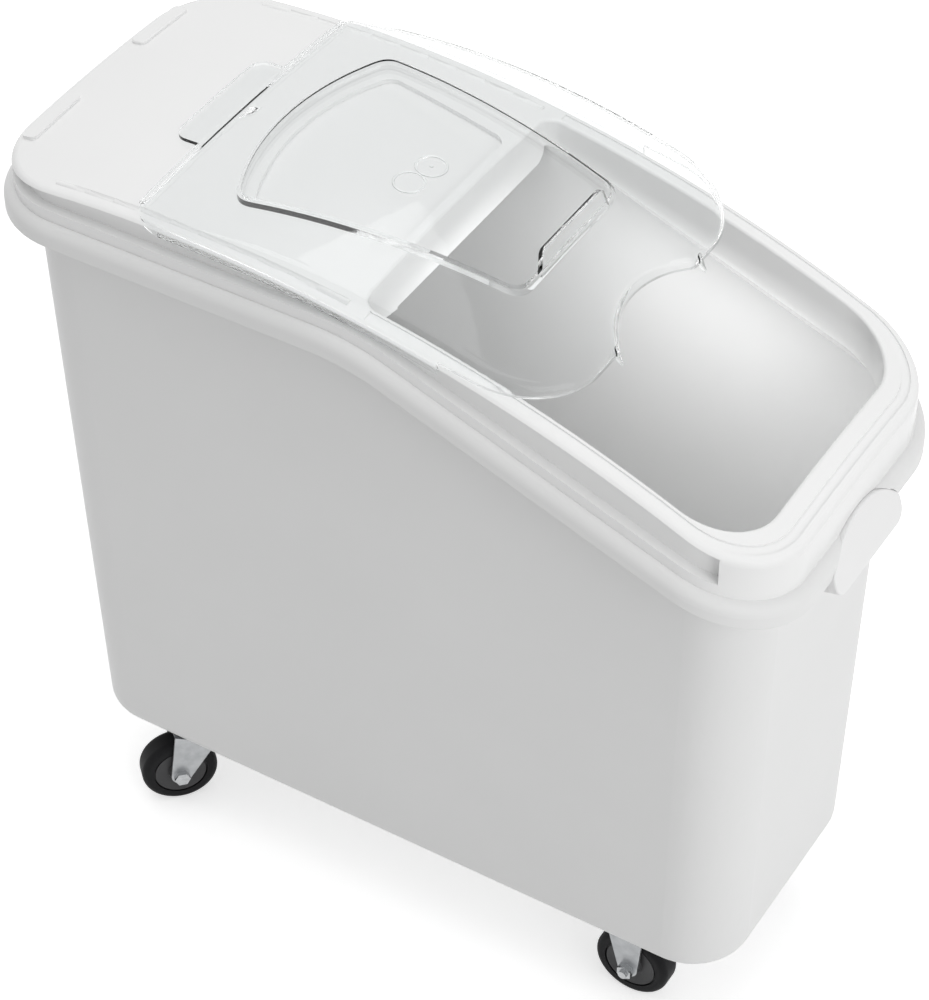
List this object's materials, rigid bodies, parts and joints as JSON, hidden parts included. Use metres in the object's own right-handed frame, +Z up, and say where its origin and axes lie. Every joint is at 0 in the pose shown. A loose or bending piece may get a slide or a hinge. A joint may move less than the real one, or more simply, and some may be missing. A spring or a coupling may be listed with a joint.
{
  "type": "mobile ingredient bin",
  "caption": "Slim mobile ingredient bin on casters, with a sloping front and a clear curved lid that slides back over a fixed rear deck.",
  "frame": {"origin": "on the floor, under the middle of the rim", "axes": "+Z up, the mouth and front face -Y, the deck and swivel casters are at +Y, the bin is symmetrical about X = 0"},
  "size_m": [0.3354, 0.7397, 0.7408],
  "materials": {
    "white_plastic": "satin moulded polypropylene",
    "clear_plastic": "clear polycarbonate",
    "black_rubber": "matte rubber",
    "hub_plastic": "satin dark grey plastic",
    "zinc_steel": "bright zinc plate",
    "brass": "turned"
  },
  "bodies": {
    "bin": {"tub": "white_plastic", "top_frame": "white_plastic", "front_plate": "white_plastic", "front_caster_screws": "zinc_steel", "rear_caster_screws": "zinc_steel", "front_caster_inserts": "brass", "rear_caster_inserts": "brass", "rear_left_top_plate": "zinc_steel", "rear_right_top_plate": "zinc_steel", "rear_left_kingpin": "zinc_steel", "rear_right_kingpin": "zinc_steel", "front_left_bracket": "zinc_steel", "front_left_bush": "zinc_steel", "front_left_axle_bolt": "zinc_steel", "front_left_axle_nut": "zinc_steel", "front_right_bracket": "zinc_steel", "front_right_bush": "zinc_steel", "front_right_axle_bolt": "zinc_steel", "front_right_axle_nut": "zinc_steel"},
    "lid": {"sliding_lid": "clear_plastic"},
    "front_left_wheel": {"front_left_tyre": "black_rubber", "front_left_hub": "hub_plastic"},
    "front_right_wheel": {"front_right_tyre": "black_rubber", "front_right_hub": "hub_plastic"},
    "rear_left_swivel_fork": {"rear_left_fork": "zinc_steel", "rear_left_bush": "zinc_steel", "rear_left_axle_bolt": "zinc_steel", "rear_left_axle_nut": "zinc_steel", "rear_left_race_balls": "zinc_steel"},
    "rear_left_wheel": {"rear_left_tyre": "black_rubber", "rear_left_hub": "hub_plastic"},
    "rear_right_swivel_fork": {"rear_right_fork": "zinc_steel", "rear_right_bush": "zinc_steel", "rear_right_axle_bolt": "zinc_steel", "rear_right_axle_nut": "zinc_steel", "rear_right_race_balls": "zinc_steel"},
    "rear_right_wheel": {"rear_right_tyre": "black_rubber", "rear_right_hub": "hub_plastic"}
  },
  "joints": [
    {"name": "lid_slide", "type": "hinge", "parent": "bin", "child": "lid", "pos_m": [0, 0.18, -0.43], "axis": [1, 0, 0], "range_deg": [-5, 9.6]},
    {"name": "front_left_roll", "type": "hinge", "parent": "bin", "child": "front_left_wheel", "pos_m": [-0.088, -0.23, 0.0354], "axis": [1, 0, 0], "continuous": true},
    {"name": "front_right_roll", "type": "hinge", "parent": "bin", "child": "front_right_wheel", "pos_m": [0.088, -0.23, 0.0354], "axis": [1, 0, 0], "continuous": true},
    {"name": "rear_left_swivel", "type": "hinge", "parent": "bin", "child": "rear_left_swivel_fork", "pos_m": [-0.0925, 0.232, 0.0835], "axis": [0, 0, 1], "continuous": true},
    {"name": "rear_left_roll", "type": "hinge", "parent": "rear_left_swivel_fork", "child": "rear_left_wheel", "pos_m": [-0.10689, 0.24589, 0.0354], "axis": [0.6947, 0.7193, 0], "continuous": true},
    {"name": "rear_right_swivel", "type": "hinge", "parent": "bin", "child": "rear_right_swivel_fork", "pos_m": [0.0925, 0.232, 0.0835], "axis": [0, 0, 1], "continuous": true},
    {"name": "rear_right_roll", "type": "hinge", "parent": "rear_right_swivel_fork", "child": "rear_right_wheel", "pos_m": [0.0925, 0.252, 0.0354], "axis": [1, 0, 0], "continuous": true}
  ]
}
